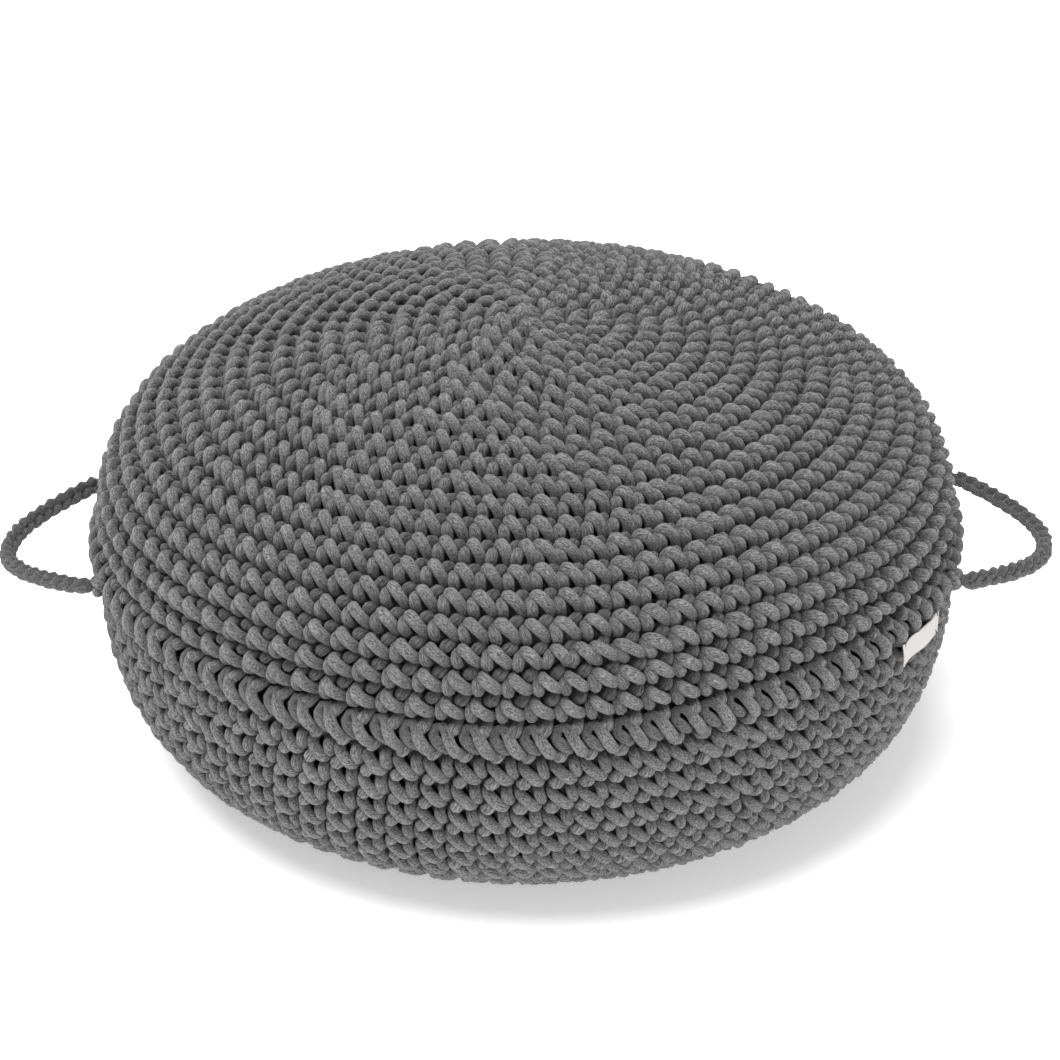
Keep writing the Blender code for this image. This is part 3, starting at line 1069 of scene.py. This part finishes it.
class CUSHION_OT_label(bpy.types.Operator):
    """Makes the blank cloth label under the seam and the thread that holds it"""

    bl_idname = "cushion.label"
    bl_label = "Label"

    def execute(self, context):
        scene = context.scene
        colours, label, shape = scene.cushion_colours, scene.cushion_label, scene.cushion_shape
        outline = cushion_outline(shape)
        columns, rows = 64, 24
        wide = columns + 1
        u = np.linspace(-0.5, 0.5, wide)[None, :] * label.width
        v = np.linspace(0, 1, rows + 1)[:, None] * label.height
        top = outline["seam"] + label.gap
        # Soft waves in the tape, and a corner that stands a little loose
        wave = 0.0005 * np.sin(u * 210 + 0.6) * np.sin(v * 160 + 0.4) + 0.0004 * np.sin(u * 95 - 1.1)
        loose = 0.0011 * np.clip((-u / label.width - 0.34) / 0.16, 0, 1) ** 2 * (v / label.height)
        turn = label.angle + (u + 0.0006 * np.sin(v * 220)) / shape.radius
        reach = top + v + 0.0005 * np.sin(u * 120)
        lift = label.lift + wave + loose
        lifts = (lift, lift + label.thickness)
        places = np.concatenate([on_cushion(outline, turn, reach, level).reshape(-1, 3) for level in lifts])
        layer = wide * (rows + 1)
        faces = []
        for corner in (row * wide + column for row in range(rows) for column in range(columns)):
            square = (corner, corner + 1, corner + wide + 1, corner + wide)
            faces += [square, tuple(layer + place for place in reversed(square))]
        rim = list(range(wide)) + [row * wide + columns for row in range(1, rows + 1)]
        rim += [rows * wide + column for column in range(columns - 1, -1, -1)]
        rim += [row * wide for row in range(rows - 1, 0, -1)]
        faces += [(far, near, layer + near, layer + far) for near, far in zip(rim, rim[1:] + rim[:1])]
        flat = np.stack(np.broadcast_arrays(u, v), -1).reshape(-1, 2)
        material = kept_material("label_weave", cloth_material, colours.label, TAPE_THREAD, 0.22)
        tape = cloth_mesh("label_tape", places, faces, np.concatenate([flat, flat]), material)
        finish_piece(tape, "cushion", "label_tape", "label")

        thread = kept_material("label_thread_twist", thread_material, colours.thread)
        bend = np.linspace(0, math.pi, 13)
        for end_name, end in (("front", -1), ("rear", 1)):
            for level_name, level, inward in (("top", 0.12, 1), ("low", 0.88, -1)):
                stitch_u = end * (label.width / 2 - 0.0022) + 0.0004 * np.cos(bend)
                stitch_v = level * label.height - inward * 0.0016 * (1 + np.cos(bend)) + inward * 0.0008
                stitch_lift = label.lift + label.thickness + 0.0007 * np.sin(bend) - 0.0006
                line = on_cushion(outline, label.angle + stitch_u / shape.radius, top + stitch_v, stitch_lift)
                line = np.concatenate([line, np.full((len(line), 2), label.thread_radius)], 1)
                tube = tube_rings(line, line[:, :3] * (1, 1, 0), len(line), COVER_SIDES, closed=False)
                piece = tube_mesh(f"label_stitch_{end_name}_{level_name}", [tube], thread, closed=False)
                finish_piece(piece, "cushion", "label_thread", f"label_tack_{end_name}_{level_name}")
        return {"FINISHED"}


class CUSHION_OT_inner_cushion(bpy.types.Operator):
    """Makes the sewn inner cushion that fills the covers"""

    bl_idname = "cushion.inner_cushion"
    bl_label = "Inner Cushion"

    def execute(self, context):
        scene = context.scene
        shape = scene.cushion_shape
        outline = cushion_outline(shape)
        around, rows = 144, 90
        turn, reach = np.meshgrid(
            np.arange(around) * 2 * math.pi / around, np.linspace(0, outline["foot"], rows + 1)[1:-1]
        )
        seams = (outline["seam"] * 0.5, outline["seam"] + (outline["foot"] - outline["seam"]) * 0.35)
        dip = sum(np.exp(-(((reach - seam) / 0.006) ** 2)) for seam in seams)
        pucker = 0.5 + 0.5 * np.sin(turn * 48)
        lift = -shape.lining_depth - dip * (0.0015 + 0.001 * pucker)
        middles = ((0, 0, shape.crown_height - shape.lining_depth), (0, 0, shape.lining_depth))
        places = np.concatenate([on_cushion(outline, turn, reach, lift).reshape(-1, 3), middles])
        north, south = len(places) - 2, len(places) - 1
        last = (rows - 2) * around
        ring = [(step, (step + 1) % around) for step in range(around)]
        faces = [
            (row + step, row + around + step, row + around + ahead, row + ahead)
            for row in range(0, last, around)
            for step, ahead in ring
        ]
        for step, ahead in ring:
            faces += [(north, step, ahead), (south, last + ahead, last + step)]
        turn = np.concatenate([turn.ravel(), [0, 0]])
        reach = np.concatenate([reach.ravel(), [0, outline["foot"]]])
        flat = np.stack([reach * np.cos(turn), reach * np.sin(turn)], 1)
        lining = scene.cushion_colours.lining
        material = kept_material("lining_weave", cloth_material, lining, LINING_THREAD, 0.3)
        piece = cloth_mesh("inner_cushion", places, faces, flat, material)
        nodes = ("lining_top_panel", "lining_side_band", "lining_base_panel", "filling")
        finish_piece(piece, "cushion", "lining_cloth", *nodes)
        return {"FINISHED"}


# ---- Stage, sidebar and run ----


class CUSHION_OT_stage(bpy.types.Operator):
    """Lays the floor and sets the lights and the camera"""

    bl_idname = "cushion.stage"
    bl_label = "Stage"

    def execute(self, context):
        scene = context.scene
        floor_mesh = bpy.data.meshes.new("floor")
        turns = np.linspace(0, 2 * math.pi, 65)[:-1]
        edge = [(FLOOR_RADIUS * math.cos(turn), FLOOR_RADIUS * math.sin(turn), -0.0005) for turn in turns]
        floor_mesh.from_pydata(edge, [], [tuple(range(len(edge)))])
        material, _, shader = new_material("floor_pale", tuple(scene.cushion_colours.floor), 0.9, 0.0)
        set_inputs(shader, {"Emission Color": (*WHITE, 1.0), "Emission Strength": FLOOR_GLOW})
        floor_mesh.materials.append(material)
        link_new("floor", floor_mesh)

        world = bpy.data.worlds.new("studio")
        world.use_nodes = True
        set_inputs(world.node_tree.nodes["Background"], {"Color": (*WHITE, 1.0), "Strength": ROOM_LIGHT})
        scene.world = world
        for kind, name, place, power, softness in LAMPS:
            lamp = bpy.data.lights.new(name, kind)
            lamp.energy = power
            for setting, value in softness.items():
                setattr(lamp, setting, value)
            holder = link_new(name, lamp)
            holder.location = place
            holder.rotation_euler = (Vector((0, 0, 0.12)) - Vector(place)).to_track_quat("-Z", "Y").to_euler()

        lens = bpy.data.cameras.new("camera")
        lens.sensor_width = 36
        lens.lens = CAMERA_LENS
        lens.shift_x, lens.shift_y = CAMERA_SHIFT
        lens.clip_start = 0.05
        aim = Vector((0, 0, scene.cushion_shape.seam_height))
        place = aim + Vector((0, -math.cos(CAMERA_LIFT), math.sin(CAMERA_LIFT))) * CAMERA_DISTANCE
        turn = (aim - place).to_track_quat("-Z", "Y").to_matrix().to_4x4()
        camera = link_new("camera", lens)
        camera.matrix_world = Matrix.Translation(place) @ turn @ Matrix.Rotation(CAMERA_ROLL, 4, "Z")
        scene.camera = camera
        scene.view_settings.view_transform = "Standard"
        return {"FINISHED"}


class CUSHION_PT_sidebar(bpy.types.Panel):
    """Lists the cushion's pieces and its sizes"""

    bl_idname = "CUSHION_PT_sidebar"
    bl_label = "Floor Cushion"
    bl_space_type = "VIEW_3D"
    bl_region_type = "UI"
    bl_category = "Floor Cushion"

    def draw(self, context):
        column = self.layout.column()
        for operator in OPERATORS:
            column.operator(operator.bl_idname)
        for group in SETTINGS:
            settings = getattr(context.scene, group)
            for name in settings.__annotations__:
                column.prop(settings, name)


SETTINGS = {
    "cushion_shape": CushionShape,
    "cushion_crochet": CushionCrochet,
    "cushion_handles": CushionHandles,
    "cushion_label": CushionLabel,
    "cushion_colours": CushionColours,
}
OPERATORS = (
    CUSHION_OT_stage,
    CUSHION_OT_handles,
    CUSHION_OT_upper_cover,
    CUSHION_OT_base_cover,
    CUSHION_OT_joining_round,
    CUSHION_OT_inner_cushion,
    CUSHION_OT_label,
)


def register():
    """Makes the settings, operators and panel known to Blender."""
    for name, group in SETTINGS.items():
        bpy.utils.register_class(group)
        setattr(bpy.types.Scene, name, PointerProperty(type=group))
    for operator in OPERATORS:
        bpy.utils.register_class(operator)
    bpy.utils.register_class(CUSHION_PT_sidebar)


def unregister():
    """Takes the panel, operators and settings away again."""
    bpy.utils.unregister_class(CUSHION_PT_sidebar)
    for operator in reversed(OPERATORS):
        bpy.utils.unregister_class(operator)
    for name, group in reversed(SETTINGS.items()):
        delattr(bpy.types.Scene, name)
        bpy.utils.unregister_class(group)


def main():
    """Makes the whole cushion."""
    register()
    bpy.ops.cushion.stage()
    bpy.ops.cushion.handles()
    bpy.ops.cushion.upper_cover()
    bpy.ops.cushion.base_cover()
    bpy.ops.cushion.joining_round()
    bpy.ops.cushion.inner_cushion()
    bpy.ops.cushion.label()


if __name__ == "__main__":
    main()
